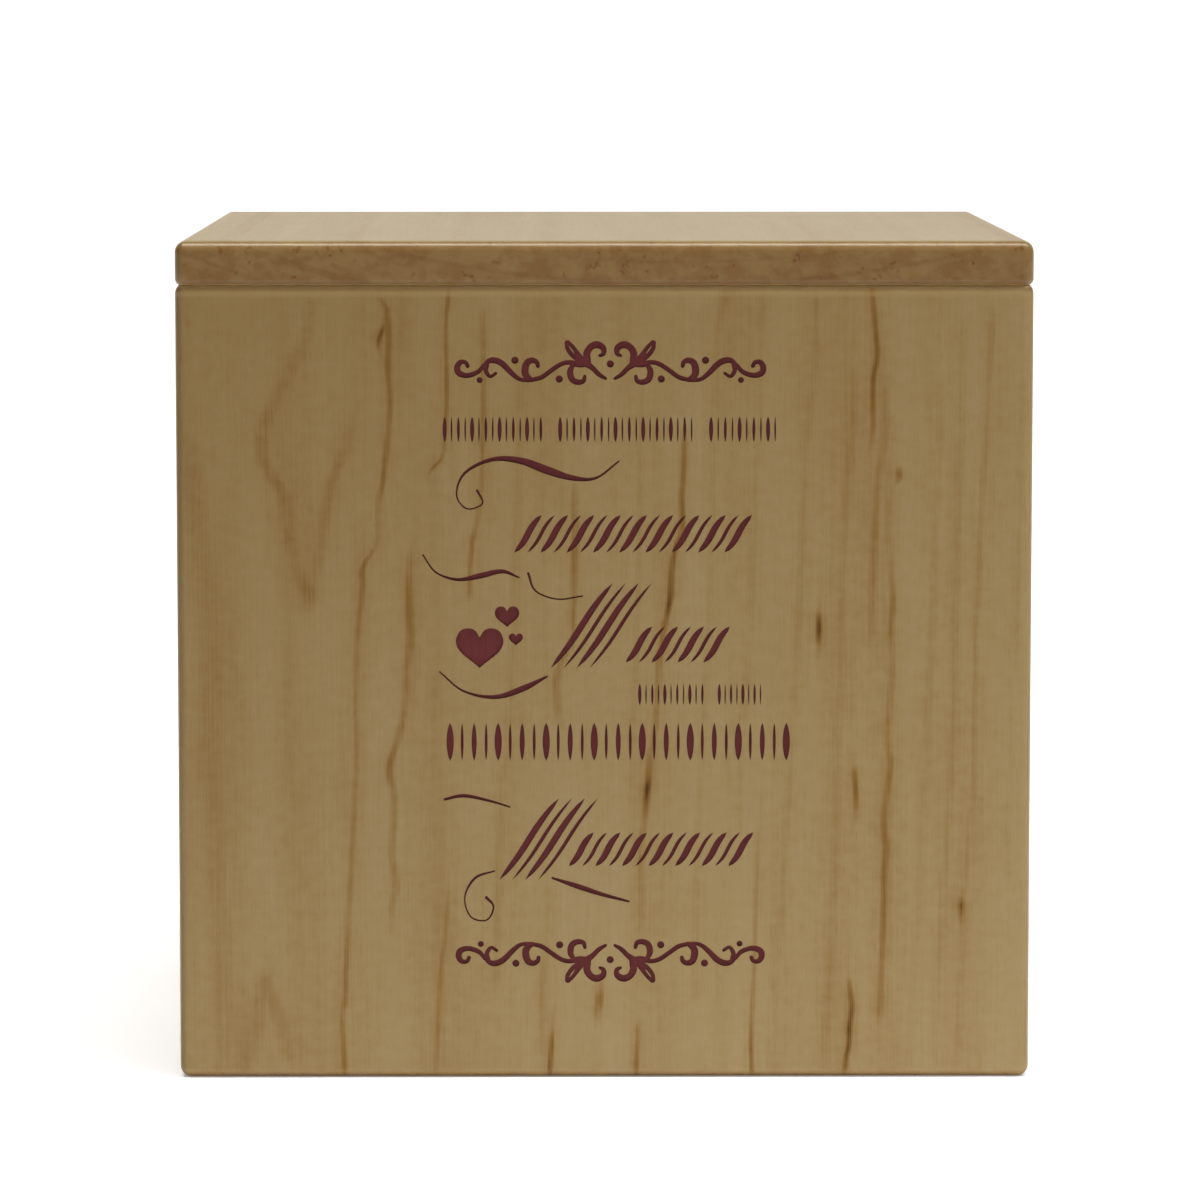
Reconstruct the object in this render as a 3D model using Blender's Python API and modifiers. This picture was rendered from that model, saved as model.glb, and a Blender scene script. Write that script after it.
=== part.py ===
"""Cremation urn box: a hollow box of solid wood boards with an engraved front and a lift-off lid.

Six pieces: four wall boards mitred at the corners, a bottom panel let in from below, and a lid of
one board whose underside is stepped so that it drops into the box. Lengths are in metres, +Z is up,
the engraved front faces -Y, and the origin is the middle of the underside.
"""

from math import cos, pi, radians, sin, sqrt, tan

import bmesh
import bpy
from mathutils import Matrix, Vector

MM = 0.001

# Driving dimensions of the box
WIDTH = 165 * MM
DEPTH = 165 * MM
HEIGHT = 162.5 * MM
LID_THICKNESS = 8.5 * MM
WALL_THICKNESS = 8.5 * MM
BOTTOM_THICKNESS = 6 * MM
BOTTOM_LET_IN = 4 * MM
LID_STEP = 3 * MM
EDGE_RADIUS = 2.2 * MM
EDGE_SEGMENTS = 3
# The rounding of lid and walls is cut off where they meet, so their edges leave a V groove
SEAM_TRIM = 0.5 * MM
# Left between neighbouring pieces
GAP = 0.3 * MM
SEAM_HEIGHT = HEIGHT - LID_THICKNESS
FRONT = -DEPTH / 2

# The engraving is as deep as this, and its cutters stand this far out of the board
ENGRAVING_DEPTH = 0.6 * MM
CUTTER_OUTSIDE = 2 * MM
# Steps between two points of a stroke
STROKE_STEPS = 2
DOT_SIDES = 10

# Everything from here to the materials is in millimetres on the front face, across from the middle
# of the engraving and up from the table. That middle lies a little right of the board's own
ENGRAVING_ACROSS = 1.1

# The scroll ornament stands above the rows and, upside down, below them. Its strokes are the left
# half's, about the middle dot: across, up and width at the points that a smooth line goes through
ORNAMENT_HEIGHTS = ((138.9, 1), (23.2, -1))
SCROLL_STROKES = {
    "end_curl": [(-24.3, -0.2, 0.7), (-25.4, -1.5, 0.9), (-27.4, -2.2, 1.0), (-29.0, -1.8, 1.2),
                 (-29.4, -0.7, 1.2), (-28.8, 0.3, 1.0), (-27.8, 0.3, 0.8), (-27.4, -0.4, 0.8)],
    "small_curl": [(-23.8, -0.1, 1.1), (-23.9, -1.3, 0.9), (-23.1, -2.4, 0.7), (-22.0, -1.8, 0.6)],
    "arch": [(-24.3, -0.5, 0.8), (-23.4, 0.5, 1.0), (-22.2, 0.7, 1.2), (-20.7, 0.0, 1.2),
             (-18.8, -1.9, 1.0), (-17.2, -3.0, 0.8), (-15.0, -3.1, 0.8)],
    "big_curl": [(-15.2, -2.9, 0.8), (-16.1, -2.3, 1.3), (-16.4, -1.3, 1.4), (-16.0, 0.2, 1.3),
                 (-15.0, 0.7, 1.1), (-14.1, 0.3, 0.9), (-13.9, -0.4, 0.8)],
    "link": [(-15.4, -3.1, 0.8), (-13.3, -2.6, 0.9), (-11.4, -1.3, 0.9), (-9.6, -0.1, 0.9),
             (-8.1, 0.3, 0.9), (-6.5, 0.1, 1.0)],
    "leaf": [(-8.2, 4.0, 1.2), (-7.8, 3.2, 1.8), (-6.9, 2.0, 1.9), (-5.6, 0.7, 1.5)],
    "upper_curl": [(-4.4, 0.7, 1.4), (-4.5, 2.0, 1.4), (-3.8, 3.2, 1.3), (-2.6, 3.7, 1.4),
                   (-1.4, 3.1, 1.2), (-1.3, 2.0, 0.9), (-2.0, 1.6, 0.6)],
    "tail": [(-4.6, 0.1, 1.4), (-3.3, -0.9, 1.0), (-2.2, -2.0, 0.9), (-0.9, -2.8, 0.6)],
    "lower_curl": [(-7.1, -0.1, 0.8), (-7.7, -1.4, 1.2), (-7.4, -2.9, 1.2), (-6.3, -3.5, 1.1),
                   (-5.2, -3.3, 0.9), (-4.9, -2.4, 0.7)],
    "junction": [(-6.7, 0.0, 1.2), (-5.8, 0.1, 1.6), (-4.4, 0.2, 1.5)],
}
# Dots beside the strokes, and the one in the middle: across, up and radius
SIDE_DOTS = ((-25.1, -3.1, 0.58), (-18.3, 0.7, 0.7), (-9.8, -2.9, 0.7))
MIDDLE_DOT = (0.0, 0.0, 0.7)

# The inscription's place holds rows of plain strokes, thick and thin by turns and pointed at both
# ends. A row's groups, and a slanted row's first and last foot, are places across
# Between its points, a stroke has these shares of its length, sideways shift and share of its width
UPRIGHT_SHAPE = ((0.3, 0.0, 1.0), (0.7, 0.0, 1.0))
SLANTED_SHAPE = ((0.2, -0.22, 0.8), (0.5, 0.0, 1.0), (0.8, 0.22, 0.8))
UPRIGHT_RHYTHM = (1.0, 0.4, 0.7, 0.4)
UPRIGHT_ROWS = {
    "first_row": {"foot": 123.8, "height": 5.0, "width": 0.8, "pitch": 1.35,
                  "groups": ((-32.5, -12.7), (-10.3, 16.3), (18.7, 32.4))},
    "small_row": {"foot": 72.9, "height": 4.2, "width": 0.65, "pitch": 1.2,
                  "groups": ((5.1, 18.4), (20.5, 29.6))},
    "large_row": {"foot": 62.1, "height": 7.4, "width": 1.4, "pitch": 2.3,
                  "groups": ((-32.1, 35.2),)},
}
SLANT = radians(54)
SLANTED_WIDTH = 1.3
SLANTED_RHYTHM = (1.0, 0.55)
SLANTED_PITCH = 2.5
SLANTED_ROWS = {
    "upper_row": {"foot": 102.5, "height": 7.3, "feet": (-18.5, 22.0)},
    "middle_tall_row": {"foot": 80.1, "height": 16.5, "feet": (-11.5, -4.0)},
    "middle_row": {"foot": 81.2, "height": 7.0, "feet": (3.0, 18.0)},
    "lower_tall_row": {"foot": 38.8, "height": 16.0, "feet": (-21.5, -14.0)},
    "lower_row": {"foot": 41.5, "height": 6.6, "feet": (-8.0, 22.9)},
}
# Loose flourishes beside the rows: across, up and width at the points of a smooth line
FLOURISHES = {
    "top_wave": [(-25.6, 114.5, 0.5), (-24.6, 112.0, 0.3), (-27.6, 111.0, 0.3), (-29.6, 113.7, 0.3),
                 (-28.0, 117.9, 0.5), (-22.8, 120.5, 0.8), (-17.4, 120.3, 1.3), (-12.3, 118.5, 1.6),
                 (-7.6, 117.0, 1.1), (-2.8, 116.9, 0.5), (1.7, 120.2, 0.3)],
    "upper_tail": [(-36.1, 102.1, 0.3), (-33.6, 98.7, 0.35), (-29.4, 97.3, 0.6),
                   (-24.8, 98.1, 1.1), (-20.8, 98.9, 0.8), (-17.6, 97.7, 0.3)],
    "hanging_wave": [(-15.8, 98.5, 0.5), (-14.4, 95.1, 0.35), (-10.2, 93.5, 0.3), (-5.4, 94.1, 0.3)],
    "middle_tail": [(-32.9, 79.4, 0.3), (-28.4, 75.7, 0.4), (-22.4, 74.5, 0.8), (-17.0, 76.1, 1.2),
                    (-12.2, 78.5, 0.4)],
    "left_wave": [(-32.0, 54.6, 0.5), (-28.3, 55.3, 0.7), (-23.4, 54.3, 0.5), (-19.4, 53.1, 0.3)],
    "left_curl": [(-24.0, 35.4, 0.6), (-22.6, 33.6, 0.4), (-23.9, 31.0, 0.3), (-27.0, 31.6, 0.3),
                  (-28.2, 35.4, 0.3), (-26.2, 39.2, 0.5), (-22.4, 40.6, 0.3)],
    "under_wave": [(-11.2, 39.2, 0.4), (-6.4, 37.6, 1.0), (-1.6, 36.0, 0.8), (3.6, 34.6, 0.4)],
}
# Hearts: middle across, middle up, width. The outline's right half is in shares of the width
HEARTS = ((-25.2, 84.0, 9.1), (-19.9, 90.1, 4.7), (-18.2, 85.7, 2.7))
HEART_HALF = ((0.0, 0.23), (0.1, 0.38), (0.25, 0.425), (0.41, 0.37), (0.5, 0.2), (0.48, 0.03),
              (0.37, -0.12), (0.2, -0.26), (0.07, -0.36), (0.0, -0.425))

WOOD_COLOUR = (0.43, 0.29, 0.135, 1.0)
WOOD_ROUGHNESS = 0.4
PAINT_COLOUR = (0.107, 0.026, 0.026, 1.0)
PAINT_ROUGHNESS = 0.6

for old in list(bpy.data.objects):
    bpy.data.objects.remove(old)
pieces = bpy.data.collections.new("cremation_urn_box")
cutters = bpy.data.collections.new("cutters")
engraving = bpy.data.collections.new("engraving_cutters")
for collection in (pieces, cutters, engraving):
    bpy.context.scene.collection.children.link(collection)


def finish(name, colour, roughness):
    """A plain finish of one colour."""
    material = bpy.data.materials.new(name)
    material.use_nodes = True
    shader = material.node_tree.nodes["Principled BSDF"]
    shader.inputs["Base Color"].default_value = colour
    shader.inputs["Roughness"].default_value = roughness
    shader.inputs["Metallic"].default_value = 0.0
    return material


def block(name, low, high, radius=0.0):
    """A box between two opposite corners, with its edges rounded where a radius is given."""
    low = Vector(low)
    high = Vector(high)
    form = bmesh.new()
    bmesh.ops.create_cube(form, size=1.0)
    bmesh.ops.scale(form, vec=high - low, verts=form.verts)
    mesh = bpy.data.meshes.new(name)
    form.to_mesh(mesh)
    form.free()
    box = bpy.data.objects.new(name, mesh)
    box.location = (low + high) / 2
    if radius:
        rounding = box.modifiers.new("rounded edges", "BEVEL")
        rounding.width = radius
        rounding.segments = EDGE_SEGMENTS
    return box


def as_cutter(guide, collection=cutters):
    """Keeps an object out of the model, as a shape that only cuts."""
    guide.hide_render = True
    guide.display_type = "WIRE"
    collection.objects.link(guide)
    return guide


def combine(piece, other, operation):
    """Cuts, trims or joins a piece with another shape."""
    change = piece.modifiers.new(other.name, "BOOLEAN")
    change.operation = operation
    change.solver = "EXACT"
    change.object = other


def mitre_wedge(name, length, turn):
    """What one wall keeps of the whole box: its side, between two planes at 45 degrees."""
    outside = 2 * EDGE_RADIUS
    reach = 2 * WALL_THICKNESS
    face = (DEPTH if length == WIDTH else WIDTH) / 2
    form = bmesh.new()
    bmesh.ops.create_cube(form, size=2.0)
    for corner in form.verts:
        outer = corner.co.y < 0
        beyond = outside if outer else -reach
        corner.co.x *= length / 2 + beyond - GAP / sqrt(2)
        corner.co.y = -(face + beyond)
        corner.co.z = SEAM_HEIGHT - GAP / 2 if corner.co.z > 0 else -outside
    mesh = bpy.data.meshes.new(name)
    form.to_mesh(mesh)
    form.free()
    wedge = bpy.data.objects.new(name, mesh)
    wedge.rotation_euler.z = turn
    return as_cutter(wedge)


def smooth_line(points):
    """Points along a smooth curve through the given ones, ends included."""
    known = [Vector(point) for point in points]
    known = [known[0] * 2 - known[1]] + known + [known[-1] * 2 - known[-2]]
    line = []
    for before, start, end, after in zip(known, known[1:], known[2:], known[3:]):
        for step in range(STROKE_STEPS):
            part = step / STROKE_STEPS
            rise = end - before
            bend = 2 * before - 5 * start + 4 * end - after
            twist = 3 * (start - end) + after - before
            line.append(start + 0.5 * part * (rise + part * (bend + part * twist)))
    line.append(known[-2])
    return line


def stroke(points):
    """The outline of a stroke drawn along a smooth line, with blunt points at both ends."""
    line = smooth_line(points)
    left = []
    right = []
    for number, here in enumerate(line):
        along = line[min(number + 1, len(line) - 1)] - line[max(number - 1, 0)]
        along = along.xy.normalized()
        aside = Vector((-along.y, along.x)) * here.z / 2
        left.append(here.xy + aside)
        right.append(here.xy - aside)
    first_tip = line[0].xy + (line[0] - line[1]).xy.normalized() * line[0].z / 2
    last_tip = line[-1].xy + (line[-1] - line[-2]).xy.normalized() * line[-1].z / 2
    return [first_tip] + right + [last_tip] + left[::-1]


def spindle(foot_across, foot_up, height, width, slant=pi / 2, shape=UPRIGHT_SHAPE):
    """A stroke with a point at both ends, upright or leaning to the right."""
    foot = Vector((foot_across, foot_up))
    rise = Vector((height / tan(slant), height))
    aside = Vector((-rise.y, rise.x)).normalized()
    right = []
    left = []
    for along, shift, wide in shape:
        middle = foot + rise * along + aside * shift
        right.append(middle - aside * width * wide / 2)
        left.append(middle + aside * width * wide / 2)
    return [foot] + right + [foot + rise] + left[::-1]


def dot(across, up, radius):
    """A round outline."""
    turns = [2 * pi * side / DOT_SIDES for side in range(DOT_SIDES)]
    return [Vector((across + radius * cos(turn), up + radius * sin(turn))) for turn in turns]


def heart(across, up, width):
    """An upright heart, symmetric about its middle."""
    right = [Vector((share_across, share_up)) for share_across, share_up in HEART_HALF]
    left = [Vector((-spot.x, spot.y)) for spot in right[-2:0:-1]]
    return [Vector((across, up)) + spot * width for spot in right + left]


def engrave(name, outlines):
    """A cutter for recesses of one depth, from flat outlines that don't overlap each other."""
    curve = bpy.data.curves.new(name, "CURVE")
    curve.dimensions = "2D"
    curve.fill_mode = "BOTH"
    curve.extrude = (ENGRAVING_DEPTH + CUTTER_OUTSIDE) / 2
    for outline in outlines:
        spline = curve.splines.new("POLY")
        spline.points.add(len(outline) - 1)
        for point, spot in zip(spline.points, outline):
            point.co = ((spot.x + ENGRAVING_ACROSS) * MM, spot.y * MM, 0.0, 1.0)
        spline.use_cyclic_u = True
    guide = bpy.data.objects.new(name + "_guide", curve)
    middle = FRONT + (ENGRAVING_DEPTH - CUTTER_OUTSIDE) / 2
    guide.matrix_world = Matrix.Translation((0, middle, 0)) @ Matrix.Rotation(radians(90), 4, "X")
    bpy.context.scene.collection.objects.link(guide)
    drawn = guide.evaluated_get(bpy.context.evaluated_depsgraph_get())
    mesh = bpy.data.meshes.new_from_object(drawn)
    form = bmesh.new()
    form.from_mesh(mesh)
    bmesh.ops.remove_doubles(form, verts=form.verts, dist=0.01 * MM)
    bmesh.ops.recalc_face_normals(form, faces=form.faces)
    form.to_mesh(mesh)
    form.free()
    mesh.name = name
    mesh.materials.clear()
    mesh.materials.append(paint)
    shape = bpy.data.objects.new(name, mesh)
    shape.matrix_world = guide.matrix_world
    bpy.data.objects.remove(guide)
    as_cutter(shape, engraving)


def engrave_ornaments():
    """Both scroll ornaments: each stroke's four copies are one cutter, since they lie apart."""
    for name, points in SCROLL_STROKES.items():
        outlines = []
        for height, upright in ORNAMENT_HEIGHTS:
            for side in (1, -1):
                placed = [(side * u, upright * v + height, wide) for u, v, wide in points]
                outlines.append(stroke(placed))
        engrave("scroll_" + name, outlines)
    dots = []
    for height, upright in ORNAMENT_HEIGHTS:
        for side in (1, -1):
            dots += [dot(side * u, upright * v + height, radius) for u, v, radius in SIDE_DOTS]
        dots.append(dot(MIDDLE_DOT[0], height, MIDDLE_DOT[2]))
    engrave("scroll_dots", dots)


def engrave_rows():
    """Rows of plain strokes in the inscription's place, with flourishes beside them."""
    for name, row in UPRIGHT_ROWS.items():
        outlines = []
        for start, end in row["groups"]:
            count = round((end - start) / row["pitch"])
            spacing = (end - start) / count
            for number in range(count):
                width = row["width"] * UPRIGHT_RHYTHM[number % len(UPRIGHT_RHYTHM)]
                across = start + (number + 0.5) * spacing
                outlines.append(spindle(across, row["foot"], row["height"], width))
        engrave(name, outlines)
    for name, row in SLANTED_ROWS.items():
        start, end = row["feet"]
        count = round((end - start) / SLANTED_PITCH)
        outlines = []
        for number in range(count + 1):
            across = start + (end - start) * number / count
            width = SLANTED_WIDTH * SLANTED_RHYTHM[number % len(SLANTED_RHYTHM)]
            place = (across, row["foot"], row["height"], width)
            outlines.append(spindle(*place, SLANT, SLANTED_SHAPE))
        engrave(name, outlines)
    for name, points in FLOURISHES.items():
        engrave(name, [stroke(points)])


wood = finish("wood", WOOD_COLOUR, WOOD_ROUGHNESS)
paint = finish("paint", PAINT_COLOUR, PAINT_ROUGHNESS)

# The walls: one rounded block of which each board keeps its own side
cavity = block(
    "cavity",
    (-WIDTH / 2 + WALL_THICKNESS, -DEPTH / 2 + WALL_THICKNESS, -WALL_THICKNESS),
    (WIDTH / 2 - WALL_THICKNESS, DEPTH / 2 - WALL_THICKNESS, HEIGHT + WALL_THICKNESS),
)
as_cutter(cavity)
let_in = WALL_THICKNESS - BOTTOM_LET_IN
bottom_recess = block(
    "bottom_recess",
    (-WIDTH / 2 + let_in, -DEPTH / 2 + let_in, -WALL_THICKNESS),
    (WIDTH / 2 - let_in, DEPTH / 2 - let_in, BOTTOM_THICKNESS + GAP),
)
as_cutter(bottom_recess)
WALLS = {
    "front_board": (WIDTH, 0),
    "right_board": (DEPTH, 90),
    "back_board": (WIDTH, 180),
    "left_board": (DEPTH, 270),
}
for name, (length, turn) in WALLS.items():
    board = block(
        name,
        (-WIDTH / 2, -DEPTH / 2, 0),
        (WIDTH / 2, DEPTH / 2, SEAM_HEIGHT + SEAM_TRIM),
        EDGE_RADIUS,
    )
    board.data.materials.append(wood)
    pieces.objects.link(board)
    combine(board, mitre_wedge(name + "_mitres", length, radians(turn)), "INTERSECT")
    combine(board, cavity, "DIFFERENCE")
    combine(board, bottom_recess, "DIFFERENCE")

# The engraving in the front board, filled with paint
engrave_ornaments()
engrave_rows()
engrave("hearts", [heart(*place) for place in HEARTS])
front_board = bpy.data.objects["front_board"]
recesses = front_board.modifiers.new("engraving", "BOOLEAN")
recesses.operation = "DIFFERENCE"
recesses.solver = "EXACT"
recesses.operand_type = "COLLECTION"
recesses.collection = engraving
recesses.material_mode = "TRANSFER"

# The bottom panel, flush with the walls' lower edges
panel_inset = let_in + GAP
bottom_panel = block(
    "bottom_panel",
    (-WIDTH / 2 + panel_inset, -DEPTH / 2 + panel_inset, 0),
    (WIDTH / 2 - panel_inset, DEPTH / 2 - panel_inset, BOTTOM_THICKNESS),
)
bottom_panel.data.materials.append(wood)
pieces.objects.link(bottom_panel)

# The lid, resting on the walls, with a step below that drops inside them
lid = block(
    "lid",
    (-WIDTH / 2, -DEPTH / 2, SEAM_HEIGHT - SEAM_TRIM),
    (WIDTH / 2, DEPTH / 2, HEIGHT),
    EDGE_RADIUS,
)
lid.data.materials.append(wood)
pieces.objects.link(lid)
lid_underside = SEAM_HEIGHT + GAP / 2
below_lid = block("below_lid", (-WIDTH, -DEPTH, 0), (WIDTH, DEPTH, lid_underside))
as_cutter(below_lid)
combine(lid, below_lid, "DIFFERENCE")
step_inset = WALL_THICKNESS + GAP
lid_step = block(
    "lid_step",
    (-WIDTH / 2 + step_inset, -DEPTH / 2 + step_inset, lid_underside - LID_STEP),
    (WIDTH / 2 - step_inset, DEPTH / 2 - step_inset, lid_underside + LID_THICKNESS / 2),
)
as_cutter(lid_step)
combine(lid, lid_step, "UNION")
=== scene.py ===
from math import cos, pi, radians, sin, tan

import bmesh
import bpy
from mathutils import Matrix, Vector


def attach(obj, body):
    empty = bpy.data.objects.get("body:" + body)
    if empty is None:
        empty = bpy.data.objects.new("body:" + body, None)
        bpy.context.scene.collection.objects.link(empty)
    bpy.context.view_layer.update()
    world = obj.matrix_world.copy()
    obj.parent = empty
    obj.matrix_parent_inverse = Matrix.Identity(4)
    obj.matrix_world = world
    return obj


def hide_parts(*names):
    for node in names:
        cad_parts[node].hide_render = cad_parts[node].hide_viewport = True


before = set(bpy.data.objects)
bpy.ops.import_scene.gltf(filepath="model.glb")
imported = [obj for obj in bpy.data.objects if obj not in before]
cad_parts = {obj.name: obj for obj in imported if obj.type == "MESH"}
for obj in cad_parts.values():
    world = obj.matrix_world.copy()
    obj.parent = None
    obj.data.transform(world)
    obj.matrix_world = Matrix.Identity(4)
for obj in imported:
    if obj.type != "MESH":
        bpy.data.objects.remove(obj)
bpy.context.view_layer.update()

# Front board. One of four boards of solid maple that stand on end, so the grain runs up and down.
# It is mitred at both ends and glued to its neighbours, its outer edges are rounded with a router,
# and the engraving in it is filled with burgundy paint. Lengths are metres unless a name says mm
MM = 0.001
WIDTH = 165 * MM
DEPTH = 165 * MM
HEIGHT = 162.5 * MM
LID_THICKNESS = 8.5 * MM
WALL_THICKNESS = 8.5 * MM
EDGE_RADIUS = 2.2 * MM
EDGE_STEPS = 10
# End grain shows on the outer part of a rounded edge: it starts at this share of the way round,
# and takes over this much faster than the edge rounds
END_GRAIN_START = 0.3
END_GRAIN_RISE = 2.2
# This makes a measure of rounding that is 0 on a flat face reach 1 in the middle of an edge
MIDDLE_OF_EDGE = 2
# The walls are rounded as if they ran this far past the seam, which leaves a shallow V groove there
SEAM_TRIM = 0.55 * MM
SEAM_HEIGHT = HEIGHT - LID_THICKNESS
# The lid rests on the walls, a hair above them, and glued joints are closer than that
LID_GAP = 0.02 * MM
GLUE_LINE = 0.01 * MM
BOTTOM_THICKNESS = 6 * MM
BOTTOM_LET_IN = 4 * MM
BOTTOM_GAP = 0.15 * MM
FRONT = -DEPTH / 2
# Points this close to a cut lie on it, and points this close together in a cutter are one
ON_THE_CUT = 1e-7
SAME_POINT = 0.004 * MM


def sawn_block(low, high):
    """A sharp-edged block between two corners."""
    form = bmesh.new()
    bmesh.ops.create_cube(form, size=1.0)
    bmesh.ops.scale(form, vec=Vector(high) - Vector(low), verts=form.verts)
    bmesh.ops.translate(form, vec=(Vector(high) + Vector(low)) / 2, verts=form.verts)
    return form


def round_over(form, edges, radius, steps):
    """Rounds edges, and returns the faces that the rounding is made of."""
    rounded = bmesh.ops.bevel(
        form, geom=edges, offset=radius, segments=steps, affect="EDGES", profile=0.5, material=-1
    )
    return rounded["faces"]


def rounded_block(low, high, radius=EDGE_RADIUS):
    """A block whose edges are all rounded."""
    form = sawn_block(low, high)
    for face in round_over(form, form.edges[:], radius, EDGE_STEPS):
        face.smooth = True
    return form


def saw_off(form, point, direction):
    """Takes away what lies beyond a plane, and closes the cut with a flat face."""
    cut = bmesh.ops.bisect_plane(
        form, geom=form.verts[:] + form.edges[:] + form.faces[:], dist=ON_THE_CUT,
        plane_co=point, plane_no=direction, clear_outer=True,
    )
    rim = [part for part in cut["geom_cut"] if isinstance(part, bmesh.types.BMEdge)]
    for face in bmesh.ops.holes_fill(form, edges=rim)["faces"]:
        face.smooth = False


def wooden_piece(name, form):
    """Makes an object of a finished form, in its place in the box."""
    bmesh.ops.recalc_face_normals(form, faces=form.faces)
    mesh = bpy.data.meshes.new(name)
    form.to_mesh(mesh)
    form.free()
    piece = bpy.data.objects.new(name, mesh)
    bpy.context.scene.collection.objects.link(piece)
    return piece


def cut_out(piece, cutters):
    """Takes the cutters' shapes out of a piece, and clears the cutters away."""
    together = bpy.data.collections.new(piece.name + "_cutters")
    bpy.context.scene.collection.children.link(together)
    for cutter in cutters:
        bpy.context.scene.collection.objects.unlink(cutter)
        together.objects.link(cutter)
    change = piece.modifiers.new("cut", "BOOLEAN")
    change.operation = "DIFFERENCE"
    change.solver = "EXACT"
    change.operand_type = "COLLECTION"
    change.collection = together
    change.material_mode = "TRANSFER"
    finished = piece.evaluated_get(bpy.context.evaluated_depsgraph_get())
    mesh = bpy.data.meshes.new_from_object(finished)
    piece.modifiers.clear()
    piece.data = mesh
    mesh.name = piece.name
    for cutter in cutters:
        bpy.data.objects.remove(cutter)
    bpy.data.collections.remove(together)


def mitred_board(name, turn):
    """One wall: the front's share of a rounded block, turned to its own side of the box."""
    top = SEAM_HEIGHT - LID_GAP / 2
    form = rounded_block(
        (-WIDTH / 2, FRONT, 0), (WIDTH / 2, -FRONT, SEAM_HEIGHT + SEAM_TRIM)
    )
    saw_off(form, (0, 0, top), (0, 0, 1))
    saw_off(form, (0, FRONT + WALL_THICKNESS, 0), (0, 1, 0))
    for side in (1, -1):
        saw_off(form, (side * (WIDTH / 2 - GLUE_LINE), FRONT, 0), (side, 1, 0))
    bmesh.ops.rotate(form, matrix=Matrix.Rotation(turn, 3, "Z"), verts=form.verts)
    return wooden_piece(name, form)


def bottom_recess():
    """The room that all four walls leave for the bottom panel."""
    kept = WALL_THICKNESS - BOTTOM_LET_IN
    low = (-WIDTH / 2 + kept, -DEPTH / 2 + kept, -WALL_THICKNESS)
    high = (WIDTH / 2 - kept, DEPTH / 2 - kept, BOTTOM_THICKNESS + BOTTOM_GAP)
    return wooden_piece("bottom_recess", sawn_block(low, high))


def lay_grain(piece, low, high, across, along, board_number, radius=EDGE_RADIUS):
    """Tells the wood of a piece which way it lies, and where its rounded edges and end grain are.

    Each board gets wood of its own, taken a long way from the others' in the same log.
    """
    across = Vector(across)
    along = Vector(along)
    through = along.cross(across)
    middle = (Vector(low) + Vector(high)) / 2
    flat = (Vector(high) - Vector(low)) / 2 - Vector((radius,) * 3)
    mesh = piece.data
    places = []
    end_grain = []
    rounding = []
    for vertex in mesh.vertices:
        place = vertex.co
        places += [place.dot(across), place.dot(through) + board_number, place.dot(along)]
        beyond = Vector([
            min(1, max(0, (abs(place[axis] - middle[axis]) - flat[axis]) / radius))
            for axis in range(3)
        ])
        cut_across = abs(beyond.dot(along)) - END_GRAIN_START
        end_grain.append(min(1, max(0, END_GRAIN_RISE * cut_across)))
        second, most = sorted(beyond)[1:]
        rounding.append(min(1, MIDDLE_OF_EDGE * second * most))
    mesh.attributes.new("grain", "FLOAT_VECTOR", "POINT").data.foreach_set("vector", places)
    mesh.attributes.new("end_grain", "FLOAT", "POINT").data.foreach_set("value", end_grain)
    mesh.attributes.new("rounding", "FLOAT", "POINT").data.foreach_set("value", rounding)


# The engraving is cut 0.6 mm deep, and its paint fills part of that. Its places are in millimetres
# on the front face, across from the middle of the engraving, which lies a little right of the
# board's own, and up from the table
CUT_DEPTH = 0.6 * MM
PAINT_THICKNESS = 0.25 * MM
ENGRAVING_DEPTH = CUT_DEPTH - PAINT_THICKNESS
CUTTER_OUTSIDE = 2 * MM
ENGRAVING_ACROSS = 1.1
STROKE_STEPS = 5
ROUND_END_TURNS = (-54, -18, 18, 54)
SPINDLE_STEPS = 10
SPINDLE_FULLNESS = 0.62
DOT_SIDES = 24


def smooth_line(points):
    """Points along a smooth curve through the given ones, ends included."""
    known = [Vector(point) for point in points]
    known = [known[0] * 2 - known[1]] + known + [known[-1] * 2 - known[-2]]
    line = []
    for before, start, end, after in zip(known, known[1:], known[2:], known[3:]):
        for step in range(STROKE_STEPS):
            part = step / STROKE_STEPS
            rise = end - before
            bend = 2 * before - 5 * start + 4 * end - after
            twist = 3 * (start - end) + after - before
            line.append(start + 0.5 * part * (rise + part * (bend + part * twist)))
    line.append(known[-2])
    return line


def stroke(points):
    """The outline of a stroke drawn along a smooth line, with round ends."""
    line = smooth_line(points)
    left = []
    right = []
    for number, here in enumerate(line):
        along = line[min(number + 1, len(line) - 1)] - line[max(number - 1, 0)]
        along = along.xy.normalized()
        aside = Vector((-along.y, along.x)) * here.z / 2
        left.append(here.xy + aside)
        right.append(here.xy - aside)
    first = round_end(line[0], (line[0] - line[1]).xy)
    last = round_end(line[-1], (line[-1] - line[-2]).xy)
    return first + right + last + left[::-1]


def round_end(tip, outwards):
    """The points of a half circle round a stroke's end, without its first and last."""
    outwards = outwards.normalized() * tip.z / 2
    turns = [radians(angle) for angle in ROUND_END_TURNS]
    return [tip.xy + Matrix.Rotation(turn, 2) @ outwards for turn in turns]


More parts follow.
